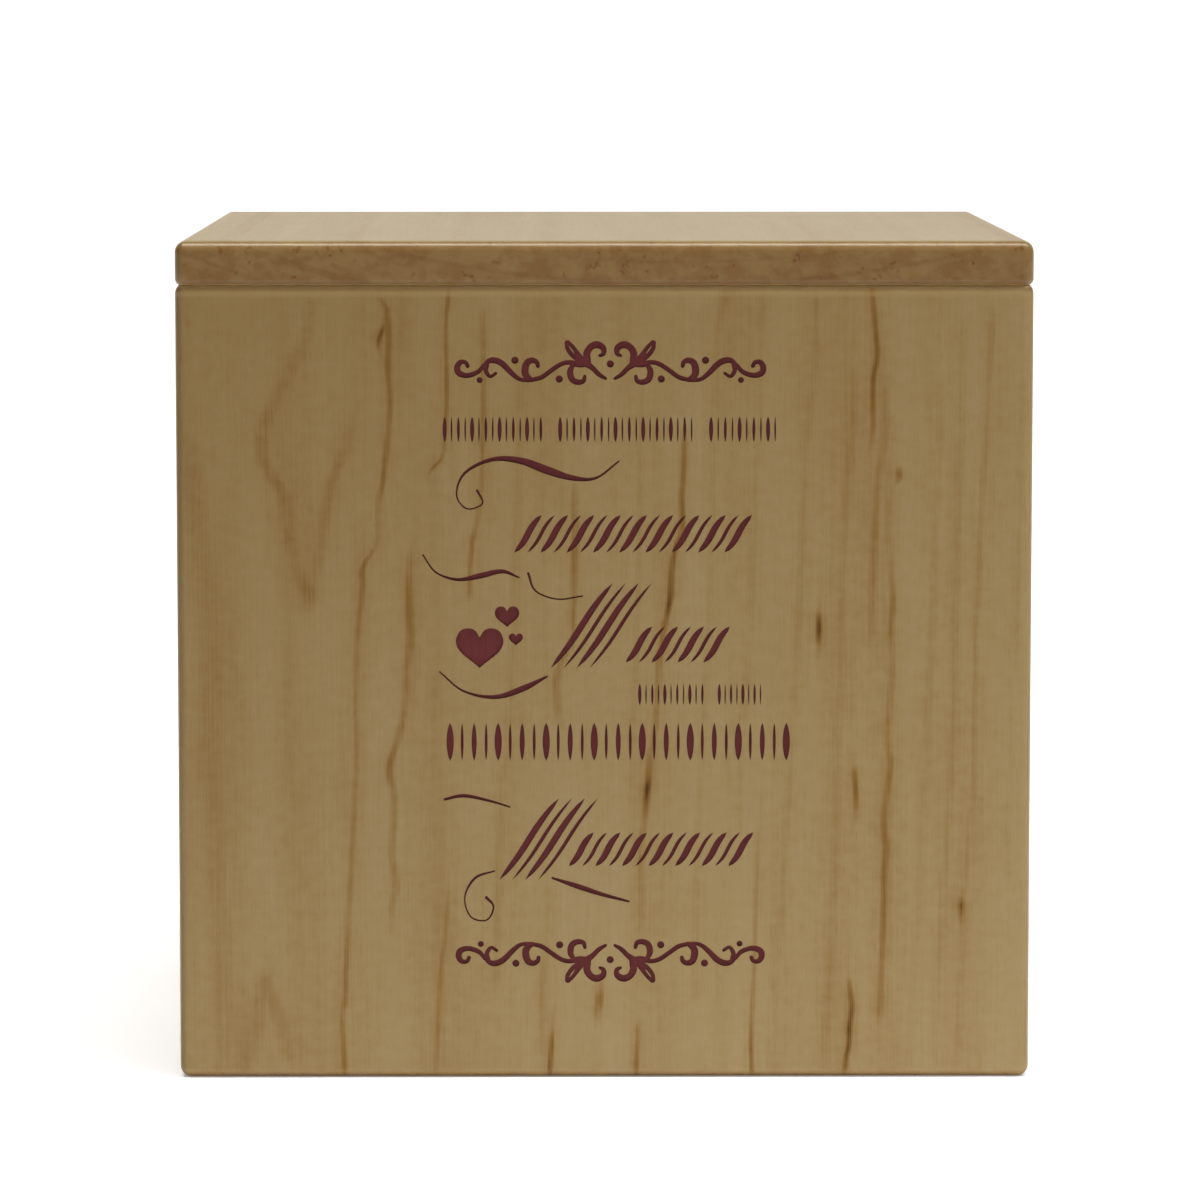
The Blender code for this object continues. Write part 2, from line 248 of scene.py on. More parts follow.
def spindle(
    foot_across, foot_up, height, width, slant=pi / 2, fullness=SPINDLE_FULLNESS, sway=0.0
):
    """A stroke with a point at both ends, upright or leaning to the right, and swaying a little."""
    foot = Vector((foot_across, foot_up))
    rise = Vector((height / tan(slant), height))
    aside = Vector((-rise.y, rise.x)).normalized()
    right = []
    left = []
    for step in range(1, SPINDLE_STEPS):
        share = step / SPINDLE_STEPS
        half_width = width / 2 * sin(pi * share) ** fullness
        middle = foot + rise * share + aside * sway * sin(2 * pi * (share - 0.5))
        right.append(middle - aside * half_width)
        left.append(middle + aside * half_width)
    return [foot] + right + [foot + rise] + left[::-1]


def dot(across, up, radius):
    """A round outline."""
    turns = [2 * pi * side / DOT_SIDES for side in range(DOT_SIDES)]
    return [Vector((across + radius * cos(turn), up + radius * sin(turn))) for turn in turns]


def engrave(name, outlines):
    """A cutter for recesses of one depth, from flat outlines. One in another is left standing."""
    curve = bpy.data.curves.new(name, "CURVE")
    curve.dimensions = "2D"
    curve.fill_mode = "BOTH"
    curve.extrude = (ENGRAVING_DEPTH + CUTTER_OUTSIDE) / 2
    for outline in outlines:
        spline = curve.splines.new("POLY")
        spline.points.add(len(outline) - 1)
        for point, spot in zip(spline.points, outline):
            point.co = ((spot.x + ENGRAVING_ACROSS) * MM, spot.y * MM, 0.0, 1.0)
        spline.use_cyclic_u = True
    guide = bpy.data.objects.new(name, curve)
    bpy.context.scene.collection.objects.link(guide)
    mesh = bpy.data.meshes.new_from_object(
        guide.evaluated_get(bpy.context.evaluated_depsgraph_get())
    )
    bpy.data.objects.remove(guide)
    middle = FRONT + (ENGRAVING_DEPTH - CUTTER_OUTSIDE) / 2
    form = bmesh.new()
    form.from_mesh(mesh)
    bmesh.ops.remove_doubles(form, verts=form.verts, dist=SAME_POINT)
    bmesh.ops.rotate(form, matrix=Matrix.Rotation(radians(90), 3, "X"), verts=form.verts)
    bmesh.ops.translate(form, vec=(0, middle, 0), verts=form.verts)
    cutter = wooden_piece(name, form)
    cutter.data.materials.append(paint)
    return cutter


# The scroll ornament stands above the rows and, upside down, below them. Its strokes are the left
# half's, about the middle dot: across, up and width at the points that a smooth line goes through
ORNAMENT_HEIGHTS = ((138.9, 1), (23.2, -1))
SCROLL_STROKES = {
    "end_curl": [(-24.3, -0.2, 0.7), (-25.4, -1.5, 0.9), (-27.4, -2.2, 1.0), (-29.0, -1.8, 1.2),
                 (-29.4, -0.7, 1.2), (-28.8, 0.3, 1.0), (-27.8, 0.3, 0.8), (-27.4, -0.4, 0.8)],
    "small_curl": [(-23.8, -0.1, 1.1), (-23.9, -1.3, 0.9), (-23.1, -2.4, 0.7), (-22.0, -1.8, 0.6)],
    "arch": [(-24.3, -0.5, 0.8), (-23.4, 0.5, 1.0), (-22.2, 0.7, 1.2), (-20.7, 0.0, 1.2),
             (-18.8, -1.9, 1.0), (-17.2, -3.0, 0.8), (-15.0, -3.1, 0.8)],
    "big_curl": [(-15.2, -2.9, 0.8), (-16.1, -2.3, 1.3), (-16.4, -1.3, 1.4), (-16.0, 0.2, 1.3),
                 (-15.0, 0.7, 1.1), (-14.1, 0.3, 0.9), (-13.9, -0.4, 0.8)],
    "link": [(-15.4, -3.1, 0.8), (-13.3, -2.6, 0.9), (-11.4, -1.3, 0.9), (-9.6, -0.1, 0.9),
             (-8.1, 0.3, 0.9), (-6.5, 0.1, 1.0)],
    "leaf": [(-8.2, 4.0, 1.2), (-7.8, 3.2, 1.8), (-6.9, 2.0, 1.9), (-5.6, 0.7, 1.5)],
    "upper_curl": [(-4.4, 0.7, 1.4), (-4.5, 2.0, 1.4), (-3.8, 3.2, 1.3), (-2.6, 3.7, 1.4),
                   (-1.4, 3.1, 1.2), (-1.3, 2.0, 0.9), (-2.0, 1.6, 0.6)],
    "tail": [(-4.6, 0.1, 1.4), (-3.3, -0.9, 1.0), (-2.2, -2.0, 0.9), (-0.9, -2.8, 0.6)],
    "lower_curl": [(-7.1, -0.1, 0.8), (-7.7, -1.4, 1.2), (-7.4, -2.9, 1.2), (-6.3, -3.5, 1.1),
                   (-5.2, -3.3, 0.9), (-4.9, -2.4, 0.7)],
    "junction": [(-6.7, 0.0, 1.2), (-5.8, 0.1, 1.6), (-4.4, 0.2, 1.5)],
}
# A fine slit of bare wood is left along the middle of the leaf
LEAF_SLIT = [(-7.9, 3.4, 0.1), (-7.4, 2.7, 0.24), (-6.9, 2.0, 0.1)]
SIDE_DOTS = ((-25.1, -3.1, 0.58), (-18.3, 0.7, 0.7), (-9.8, -2.9, 0.7))
MIDDLE_DOT_RADIUS = 0.7


def engrave_ornaments():
    """Both scroll ornaments, each the same to the left and to the right."""
    cutters = []
    dots = []
    for height, upright in ORNAMENT_HEIGHTS:
        dots.append(dot(0, height, MIDDLE_DOT_RADIUS))
        for side in (1, -1):
            dots += [dot(side * u, upright * v + height, radius) for u, v, radius in SIDE_DOTS]
    cutters.append(engrave("scroll_dots", dots))
    for name, points in SCROLL_STROKES.items():
        outlines = []
        for height, upright in ORNAMENT_HEIGHTS:
            for side in (1, -1):
                placed = [(side * u, upright * v + height, wide) for u, v, wide in points]
                outlines.append(stroke(placed))
                if name == "leaf":
                    slit = [(side * u, upright * v + height, wide) for u, v, wide in LEAF_SLIT]
                    outlines.append(stroke(slit))
        cutters.append(engrave("scroll_" + name, outlines))
    return cutters


# Between the ornaments are rows of plain strokes, thick and thin by turns. A row's groups, and a
# slanted row's first and last foot, are places across
UPRIGHT_RHYTHM = (1.0, 0.4, 0.7, 0.4)
UPRIGHT_ROWS = {
    "first_row": {"foot": 123.8, "height": 5.0, "width": 0.8, "pitch": 1.35,
                  "groups": ((-32.5, -12.7), (-10.3, 16.3), (18.7, 32.4))},
    "small_row": {"foot": 72.9, "height": 4.2, "width": 0.65, "pitch": 1.2,
                  "groups": ((5.1, 18.4), (20.5, 29.6))},
    "large_row": {"foot": 62.1, "height": 7.4, "width": 1.4, "pitch": 2.3,
                  "groups": ((-32.1, 35.2),)},
}
SLANT = radians(54)
SLANTED_WIDTH = 1.3
SLANTED_FULLNESS = 0.42
SLANTED_SWAY = 0.23
SLANTED_RHYTHM = (1.0, 0.55)
SLANTED_PITCH = 2.5
SLANTED_ROWS = {
    "upper_row": {"foot": 102.5, "height": 7.3, "feet": (-18.5, 22.0)},
    "middle_tall_row": {"foot": 80.1, "height": 16.5, "feet": (-11.5, -4.0)},
    "middle_row": {"foot": 81.2, "height": 7.0, "feet": (3.0, 18.0)},
    "lower_tall_row": {"foot": 38.8, "height": 16.0, "feet": (-21.5, -14.0)},
    "lower_row": {"foot": 41.5, "height": 6.6, "feet": (-8.0, 22.9)},
}
# Loose flourishes beside the rows: across, up and width at the points of a smooth line
FLOURISHES = {
    "top_wave": [(-25.6, 114.5, 0.5), (-24.6, 112.0, 0.3), (-27.6, 111.0, 0.3), (-29.6, 113.7, 0.3),
                 (-28.0, 117.9, 0.5), (-22.8, 120.5, 0.8), (-17.4, 120.3, 1.3), (-12.3, 118.5, 1.6),
                 (-7.6, 117.0, 1.1), (-2.8, 116.9, 0.5), (1.7, 120.2, 0.3)],
    "upper_tail": [(-36.1, 102.1, 0.3), (-33.6, 98.7, 0.35), (-29.4, 97.3, 0.6),
                   (-24.8, 98.1, 1.1), (-20.8, 98.9, 0.8), (-17.6, 97.7, 0.3)],
    "hanging_wave": [(-15.8, 98.5, 0.5), (-14.4, 95.1, 0.35), (-10.2, 93.5, 0.3), (-5.4, 94.1, 0.3)],
    "middle_tail": [(-32.9, 79.4, 0.3), (-28.4, 75.7, 0.4), (-22.4, 74.5, 0.8), (-17.0, 76.1, 1.2),
                    (-12.2, 78.5, 0.4)],
    "left_wave": [(-32.0, 54.6, 0.5), (-28.3, 55.3, 0.7), (-23.4, 54.3, 0.5), (-19.4, 53.1, 0.3)],
    "left_curl": [(-24.0, 35.4, 0.6), (-22.6, 33.6, 0.4), (-23.9, 31.0, 0.3), (-27.0, 31.6, 0.3),
                  (-28.2, 35.4, 0.3), (-26.2, 39.2, 0.5), (-22.4, 40.6, 0.3)],
    "under_wave": [(-11.2, 39.2, 0.4), (-6.4, 37.6, 1.0), (-1.6, 36.0, 0.8), (3.6, 34.6, 0.4)],
}


def engrave_rows():
    """Rows of plain strokes, with flourishes beside them."""
    cutters = []
    for name, row in UPRIGHT_ROWS.items():
        outlines = []
        for start, end in row["groups"]:
            count = round((end - start) / row["pitch"])
            spacing = (end - start) / count
            for number in range(count):
                width = row["width"] * UPRIGHT_RHYTHM[number % len(UPRIGHT_RHYTHM)]
                across = start + (number + 0.5) * spacing
                outlines.append(spindle(across, row["foot"], row["height"], width))
        cutters.append(engrave(name, outlines))
    leaning = {"slant": SLANT, "fullness": SLANTED_FULLNESS, "sway": SLANTED_SWAY}
    for name, row in SLANTED_ROWS.items():
        start, end = row["feet"]
        count = round((end - start) / SLANTED_PITCH)
        outlines = []
        for number in range(count + 1):
            across = start + (end - start) * number / count
            width = SLANTED_WIDTH * SLANTED_RHYTHM[number % len(SLANTED_RHYTHM)]
            outlines.append(spindle(across, row["foot"], row["height"], width, **leaning))
        cutters.append(engrave(name, outlines))
    for name, points in FLOURISHES.items():
        cutters.append(engrave(name, [stroke(points)]))
    return cutters


# Hearts: middle across, middle up, width. The outline's right half is in shares of the width
HEARTS = ((-25.2, 84.0, 9.1), (-19.9, 90.1, 4.7), (-18.2, 85.7, 2.7))
HEART_HALF = ((0.0, 0.23), (0.1, 0.38), (0.25, 0.425), (0.41, 0.37), (0.5, 0.2), (0.48, 0.03),
              (0.37, -0.12), (0.2, -0.26), (0.07, -0.36), (0.0, -0.425))


def heart(across, up, width):
    """An upright heart, symmetric about its middle."""
    right = [spot.xy for spot in smooth_line([(u, v, 0) for u, v in HEART_HALF])]
    left = [Vector((-spot.x, spot.y)) for spot in right[-2:0:-1]]
    return [Vector((across, up)) + spot * width for spot in right + left]


def node(tree, kind, settings=(), inputs=()):
    """Adds a node, with its settings and with values or links for its inputs."""
    made = tree.nodes.new(kind)
    for setting, value in dict(settings).items():
        setattr(made, setting, value)
    for socket, value in dict(inputs).items():
        if isinstance(value, bpy.types.NodeSocket):
            tree.links.new(value, made.inputs[socket])
        else:
            made.inputs[socket].default_value = value
    return made


def work_out(tree, operation, first, second=0.0, third=0.0):
    """Arithmetic on numbers."""
    sums = node(tree, "ShaderNodeMath", {"operation": operation}, {0: first, 1: second, 2: third})
    return sums.outputs[0]


def place_by(tree, operation, first, second=(0, 0, 0)):
    """Arithmetic on places."""
    made = node(tree, "ShaderNodeVectorMath", {"operation": operation}, {0: first, 1: second})
    return made.outputs[1 if operation in ("DOT_PRODUCT", "LENGTH") else 0]


def blend(tree, share, first, second, mode="MIX"):
    """A colour between two others, or one laid over the other."""
    settings = {"data_type": "RGBA", "blend_type": mode}
    return node(tree, "ShaderNodeMix", settings, {0: share, 6: first, 7: second}).outputs[2]


def graded(tree, value, low, high, at_low, at_high):
    """Spreads the values between a low and a high one over a new range, softly."""
    settings = {"interpolation_type": "SMOOTHSTEP"}
    inputs = {0: value, 1: low, 2: high, 3: at_low, 4: at_high}
    return node(tree, "ShaderNodeMapRange", settings, inputs).outputs[0]


def streaks(tree, place, per_metre, detail, roughness):
    """Noise with so many features a metre across, through and along the grain."""
    stretched = place_by(tree, "MULTIPLY", place, per_metre)
    inputs = {"Vector": stretched, "Scale": 1.0, "Detail": detail, "Roughness": roughness}
    return node(tree, "ShaderNodeTexNoise", inputs=inputs).outputs[0]


# Lines that the year rings leave on a board's face: half a line's width in millimetres, then its
# course as millimetres across, millimetres up, and strength. First the orange ones
WARM_LINES = (
    (0.9, ((-43.3, 151.8, 0.3), (-42.0, 149.8, 0.6), (-41.5, 147.2, 0.7), (-41.6, 137.7, 0.9),
           (-41.3, 132.7, 0.9), (-41.8, 122.4, 0.85), (-42.3, 118.0, 0.8), (-43.5, 112.4, 0.6),
           (-43.8, 107.4, 0.5), (-44.3, 103.3, 0.5), (-46.1, 100.8, 0.7), (-46.8, 98.7, 0.9),
           (-46.7, 96.7, 0.7), (-47.3, 89.6, 0.6), (-47.8, 82.0, 0.5), (-48.0, 73.5, 0.45),
           (-47.8, 61.9, 0.4), (-48.2, 55.9, 0.45), (-48.7, 46.5, 0.5), (-49.3, 37.2, 0.6),
           (-49.6, 32.0, 0.4), (-49.9, 24.6, 0.9), (-50.1, 20.8, 1.0), (-50.4, 14.4, 0.9),
           (-50.7, 13.2, 0.5), (-50.7, 5.9, 0.7), (-50.5, 1.6, 0.9))),
    (0.7, ((-29.9, 151.8, 0.8), (-30.3, 147.8, 0.8), (-30.5, 142.7, 0.7), (-30.4, 135.2, 0.8),
           (-30.5, 129.0, 0.7), (-30.7, 124.6, 0.6), (-31.2, 120.9, 0.7), (-32.9, 119.0, 0.7),
           (-33.9, 117.6, 0.3))),
    (0.9, ((-23.3, 147.0, 0.5), (-23.4, 137.3, 0.4), (-23.4, 128.2, 0.5), (-24.4, 109.5, 0.4),
           (-25.4, 104.3, 0.8), (-26.0, 94.8, 0.6))),
    (2.2, ((-55.7, 151.0, 0.2), (-58.2, 141.8, 0.25), (-62.3, 133.5, 0.3), (-65.0, 128.6, 0.45),
           (-65.4, 120.7, 0.5), (-62.7, 115.5, 0.4), (-61.3, 112.2, 0.3), (-60.8, 106.6, 0.3),
           (-59.2, 99.2, 0.35), (-57.3, 92.3, 0.2))),
    (1.7, ((-49.0, 126.7, 0.2), (-50.1, 121.9, 0.35), (-51.9, 117.8, 0.45), (-53.8, 110.3, 0.5),
           (-54.8, 102.9, 0.4), (-56.1, 94.8, 0.2))),
    (3.3, ((-79.7, 125.7, 0.1), (-78.9, 116.1, 0.35), (-77.6, 100.6, 0.35), (-76.6, 89.0, 0.3),
           (-76.6, 73.5, 0.35), (-76.4, 61.9, 0.3), (-75.8, 45.9, 0.2), (-74.9, 33.9, 0.15),
           (-74.5, 17.9, 0.2), (-74.1, 11.9, 0.1))),
    (0.8, ((-30.7, 33.9, 0.4), (-31.0, 27.9, 0.5), (-31.7, 21.9, 0.6), (-32.1, 15.9, 0.5),
           (-32.5, 7.8, 0.45), (-32.9, 1.6, 0.4))),
    (2.6, ((-57.4, 98.0, 0.1), (-57.2, 95.5, 0.3), (-57.0, 93.0, 0.2), (-57.2, 90.0, 0.0),
           (-65.2, 21.0, 0.0), (-65.6, 19.4, 0.2), (-67.1, 15.5, 0.35), (-68.1, 10.3, 0.35),
           (-69.3, 5.9, 0.3), (-69.8, 1.6, 0.2))),
    (2.0, ((-65.6, 19.4, 0.2), (-64.4, 16.3, 0.35), (-63.1, 11.5, 0.35), (-61.9, 4.3, 0.3))),
    (1.0, ((56.6, 119.5, 0.0), (56.6, 117.8, 1.0), (56.6, 116.4, 0.6), (55.7, 115.3, 0.15),
           (55.2, 99.6, 0.35), (55.6, 92.1, 0.8), (55.2, 87.1, 0.6), (55.5, 82.0, 0.3),
           (55.1, 73.5, 0.4), (54.8, 65.8, 0.5), (55.2, 61.2, 0.7), (54.6, 55.9, 0.7),
           (54.2, 49.9, 0.8), (54.6, 45.1, 1.0), (54.4, 39.5, 1.0), (54.3, 33.9, 0.9),
           (54.1, 27.9, 0.7), (53.8, 21.9, 0.5), (53.5, 13.8, 0.6), (53.3, 9.7, 0.1))),
    (1.2, ((53.9, 134.4, 0.2), (53.7, 124.6, 0.5), (52.8, 117.4, 0.4), (52.2, 107.4, 0.45),
           (51.7, 97.1, 0.4), (51.7, 87.1, 0.3))),
    (1.0, ((11.2, 86.5, 0.2), (10.2, 77.2, 0.5), (9.8, 68.7, 0.6), (8.6, 61.5, 0.6),
           (7.7, 50.3, 0.5), (7.1, 46.5, 0.5), (7.3, 30.6, 0.35))),
)
# Then the dark brown ones and flecks. Two that don't share a height can be one line that pauses
DARK_LINES = (
    (1.2, ((-37.5, 101.6, 0.2), (-37.8, 96.7, 0.4), (-37.8, 92.9, 0.45), (-37.6, 89.0, 0.42),
           (-37.6, 85.1, 0.35), (-38.2, 80.5, 0.35), (-38.5, 73.5, 0.3), (-40.1, 65.8, 0.4),
           (-41.4, 61.5, 0.6), (-41.6, 59.4, 0.6), (-41.0, 56.5, 0.4), (-40.8, 50.3, 0.35),
           (-41.1, 44.0, 0.3), (-40.6, 39.5, 0.35), (-40.4, 37.2, 0.3), (-41.1, 33.9, 0.25),
           (-41.3, 29.8, 0.1))),
    (0.7, ((-42.4, 146.6, 0.2), (-43.0, 144.5, 1.0), (-43.4, 142.2, 0.3), (-42.0, 138.6, 0.0),
           (-10.0, 14.6, 0.0), (-10.2, 9.7, 0.2), (-10.3, 6.8, 0.7), (-10.7, 0.9, 0.7))),
    (0.9, ((15.4, 123.6, 0.4), (15.0, 114.1, 0.6), (14.8, 106.8, 0.6), (13.5, 102.9, 0.6),
           (12.9, 99.6, 0.7), (12.6, 93.1, 1.0), (11.9, 90.0, 0.6), (11.2, 86.5, 0.4),
           (10.4, 81.8, 0.2), (9.6, 76.6, 0.0), (8.9, 63.6, 0.0), (8.8, 59.6, 0.3),
           (8.4, 56.5, 0.8), (8.1, 53.4, 0.3))),
    (1.2, ((-5.7, 114.1, 0.3), (-5.7, 102.5, 0.5), (-6.1, 90.7, 0.4), (-6.6, 84.2, 0.3),
           (-8.6, 80.9, 0.4), (-8.9, 72.6, 0.3), (-8.0, 66.6, 0.0), (-1.0, 22.6, 0.0),
           (-0.7, 18.6, 0.2), (-1.0, 15.5, 0.7), (-1.4, 12.4, 0.3))),
    (0.8, ((51.4, 152.8, 0.4), (51.7, 149.7, 0.5), (52.1, 144.1, 0.7), (52.3, 140.2, 0.7),
           (51.7, 136.2, 0.6), (51.5, 131.5, 0.5), (51.3, 124.2, 0.2), (50.0, 119.6, 0.0),
           (41.5, 94.6, 0.0), (41.3, 91.1, 0.2), (41.3, 89.0, 0.9), (41.3, 87.1, 1.0),
           (41.3, 84.2, 0.3))),
    (0.8, ((48.1, 61.0, 0.1), (48.2, 59.6, 0.5), (48.5, 55.6, 0.7), (48.6, 51.9, 0.2),
           (48.0, 47.6, 0.0), (47.4, 24.6, 0.0), (47.4, 19.8, 0.1), (47.8, 15.9, 0.8),
           (48.0, 13.8, 0.8), (47.7, 9.7, 1.0), (47.6, 6.7, 0.8), (47.0, 3.8, 0.6),
           (46.7, 0.9, 0.5))),
    (0.8, ((29.5, 46.5, 0.15), (29.1, 27.1, 0.25), (28.8, 12.4, 0.4), (28.6, 6.8, 0.6),
           (28.6, 0.9, 0.6))),
    (0.9, ((69.3, 35.8, 0.1), (69.3, 33.9, 0.7), (69.3, 31.4, 0.2))),
    (0.8, ((6.5, 9.5, 0.4), (6.5, 5.9, 0.5), (6.3, 0.9, 0.5))),
)
# And the faint ones
FAINT_LINES = (
    (1.2, ((40.5, 151.2, 0.5), (40.3, 137.7, 0.5), (38.8, 122.4, 0.4), (38.3, 107.4, 0.35),
           (37.5, 92.1, 0.4), (36.5, 69.7, 0.3), (35.1, 49.9, 0.3), (34.5, 33.9, 0.35),
           (34.3, 25.2, 0.2))),
    (1.0, ((74.4, 148.0, 0.3), (74.4, 146.2, 0.6), (73.6, 131.1, 0.6), (73.4, 124.6, 0.5),
           (72.4, 107.4, 0.5), (72.1, 97.1, 0.6), (71.6, 82.0, 0.5), (71.3, 56.1, 0.5),
           (70.2, 41.8, 0.4), (69.6, 25.8, 0.4), (68.6, 5.9, 0.4))),
    (1.2, ((69.0, 145.1, 0.3), (68.8, 142.7, 0.4), (68.6, 127.5, 0.4), (68.1, 107.4, 0.5),
           (67.8, 89.6, 0.4), (66.8, 54.2, 0.4), (65.6, 33.9, 0.35), (64.6, 17.9, 0.4),
           (64.2, 3.8, 0.3))),
    (1.2, ((64.3, 134.4, 0.3), (64.0, 114.9, 0.4), (63.8, 102.1, 0.5), (63.0, 82.0, 0.4),
           (62.0, 54.2, 0.35), (61.2, 38.0, 0.3), (60.2, 21.9, 0.3), (59.2, 3.8, 0.35))),
    (1.4, ((48.1, 135.4, 0.3), (47.9, 132.5, 0.4), (46.9, 117.4, 0.5), (46.1, 102.1, 0.4),
           (45.6, 87.1, 0.4), (44.8, 57.9, 0.4), (44.6, 38.0, 0.35), (43.8, 21.9, 0.4),
           (42.8, 5.9, 0.4))),
    (1.0, ((6.9, 132.7, 0.4), (6.9, 118.0, 0.5), (6.5, 100.6, 0.4), (5.7, 73.5, 0.35),
           (5.0, 54.2, 0.3))),
    (1.2, ((22.8, 152.0, 0.6), (21.8, 145.8, 0.5), (21.2, 131.5, 0.4), (20.8, 108.3, 0.4),
           (19.7, 81.3, 0.3), (17.9, 46.5, 0.4), (17.5, 31.0, 0.5), (17.5, 15.9, 0.3))),
    (1.0, ((30.5, 60.0, 0.2), (30.3, 54.2, 0.5), (30.1, 42.6, 0.5), (30.2, 32.9, 0.3))),
    (1.2, ((-11.5, 24.2, 0.2), (-12.2, 18.4, 0.5), (-12.4, 11.7, 0.5), (-12.6, 6.8, 0.3))),
    (1.4, ((-16.3, 150.9, 0.3), (-16.5, 127.7, 0.35), (-17.1, 100.6, 0.35), (-18.6, 73.5, 0.4),
           (-20.2, 46.5, 0.35), (-21.3, 19.4, 0.3))),
    (1.4, ((30.1, 150.9, 0.4), (29.7, 127.7, 0.4), (28.6, 100.6, 0.35), (27.2, 73.5, 0.4),
           (25.8, 48.4, 0.3))),
    (1.2, ((79.6, 117.6, 0.3), (79.4, 99.6, 0.4), (78.6, 70.6, 0.3), (77.8, 40.6, 0.3))),
)
# Curve nodes take values from -1 to 1, so a board's face is shrunk to fit: one unit is 100 mm, and
# heights count from 80 mm up. A line fades out over the last few millimetres
CURVE_UNIT_MM = 100
CURVE_MIDDLE_MM = 80
FADE_MM = 3
# A line has a core, and the wood beside it glows faintly: where each starts to fade and ends, in
# shares of the line's half width, and its share of the line's strength
LINE_PROFILE = ((0.1, 1.05, 0.85), (0.8, 3.2, 0.18))
LINES_PER_NODE = 3


def ring_lines(tree, place, lines):
    """How strongly a set of lines shows at a place, three lines to a node."""
    parts = node(tree, "ShaderNodeSeparateXYZ", inputs={0: place})
    across = work_out(tree, "DIVIDE", parts.outputs[0], CURVE_UNIT_MM * MM)
    up = work_out(tree, "SUBTRACT", parts.outputs[2], CURVE_MIDDLE_MM * MM)
    up = work_out(tree, "DIVIDE", up, CURVE_UNIT_MM * MM)
    total = 0.0
    for first in range(0, len(lines), LINES_PER_NODE):
        three = lines[first:first + LINES_PER_NODE]
        courses = node(tree, "ShaderNodeVectorCurve", inputs={1: up})
        strengths = node(tree, "ShaderNodeVectorCurve", inputs={1: up})
        for number, (half_width, points) in enumerate(three):
            above = (points[0][0], points[0][1] + FADE_MM, 0.0)
            below = (points[-1][0], points[-1][1] - FADE_MM, 0.0)
            faded = [
                ((height - CURVE_MIDDLE_MM) / CURVE_UNIT_MM, side / CURVE_UNIT_MM, strength)
                for side, height, strength in (below, *reversed(points), above)
            ]
            sides = [(height, side) for height, side, strength in faded]
            weights = [(height, strength) for height, side, strength in faded]
            draw_curve(courses.mapping, number, sides)
            draw_curve(strengths.mapping, number, weights)
            for point in strengths.mapping.curves[number].points:
                point.handle_type = "VECTOR"
        strengths.mapping.update()
        widths = Vector([half_width / CURVE_UNIT_MM for half_width, points in three])
        away = place_by(tree, "SUBTRACT", across, courses.outputs[0])
        away = place_by(tree, "ABSOLUTE", away)
        settings = {"data_type": "FLOAT_VECTOR", "interpolation_type": "SMOOTHSTEP"}
        for core, reach, most in LINE_PROFILE:
            inputs = {6: away, 7: widths * core, 8: widths * reach, 9: (most,) * 3, 10: (0, 0, 0)}
            near = node(tree, "ShaderNodeMapRange", settings, inputs).outputs[1]
            shown = place_by(tree, "DOT_PRODUCT", near, strengths.outputs[0])
            total = work_out(tree, "ADD", total, shown)
    return total


def draw_curve(mapping, number, points):
    """Draws one of a node's curves through the points, from left to right."""
    mapping.extend = "HORIZONTAL"
    curve = mapping.curves[number]
    curve.points[0].location = points[0]
    curve.points[1].location = points[-1]
    for point in points[1:-1]:
        curve.points.new(*point)
    mapping.update()


# Maple's colour by how much resin it holds, from its palest to the dark brown of a knot
MAPLE_SHADES = (
    (0.0, (0.354, 0.248, 0.109, 1)),
    (0.25, (0.305, 0.194, 0.070, 1)),
    (0.5, (0.240, 0.124, 0.031, 1)),
    (0.65, (0.200, 0.098, 0.020, 1)),
    (1.0, (0.081, 0.027, 0.002, 1)),
)
PALE_MAPLE = MAPLE_SHADES[0][1]
USUAL_SHADE = 0.2
# Patterns in the wood are noise: features a metre across, through and along the grain, detail and
# roughness. The first four shift its shade, each by half its weight up or down at most
BANDS = ((150, 150, 5), 3, 0.55)
BAND_WEIGHT = 0.34
PATCHES = ((75, 75, 26), 3, 0.6)
PATCH_WEIGHT = 0.2
FIBRES = ((2600, 2600, 60), 3, 0.6)
FIBRE_WEIGHT = 0.15
MOTTLE = ((350, 350, 480), 3, 0.5)
MOTTLE_WEIGHT = 0.22
PORES = ((5200, 5200, 260), 1, 0.5)
# Where a pattern gives a share or a shade, its low and high value come first, and then what they
# become. The drawn lines waver, and are broken up by the fibres
WAVER = ((25, 25, 60), 1, 0.5)
WAVER_REACH = 0.8 * MM
STRAYING = ((4, 4, 7), 1, 0.5)
LINE_BREAKS = (0.30, 0.62, 0.75, 1.15)
LINE_STRENGTHS = ((FAINT_LINES, 0.2), (WARM_LINES, 0.38), (DARK_LINES, 0.68))
# In the lid and the bottom, year rings are arcs, and their end grain has specks too. All end grain
# is browner, in blotches
RINGS_PER_METRE = 420
RING_SHADES = (0.50, 0.66, 0.0, 0.12)
SPECKS = ((420, 420, 16), 2, 0.7)
SPECK_SHADES = (0.63, 0.73, 0.0, 0.35)
BLOTCHES = ((260, 330, 20), 3, 0.65)
BLOTCH_SHARES = (0.40, 0.66, 0.0, 1.0)
END_GRAIN_TINT = (0.725, 0.635, 0.53, 1)
END_GRAIN_BLOTCH = (0.86, 0.74, 0.62, 1)
# Pores are a little darker, and rounded edges are rubbed paler in patches
PORE_SHADES = (0.56, 0.72, 1.0, 0.93)
WEAR_SHARES = (0.35, 0.7, 0.02, 0.22)
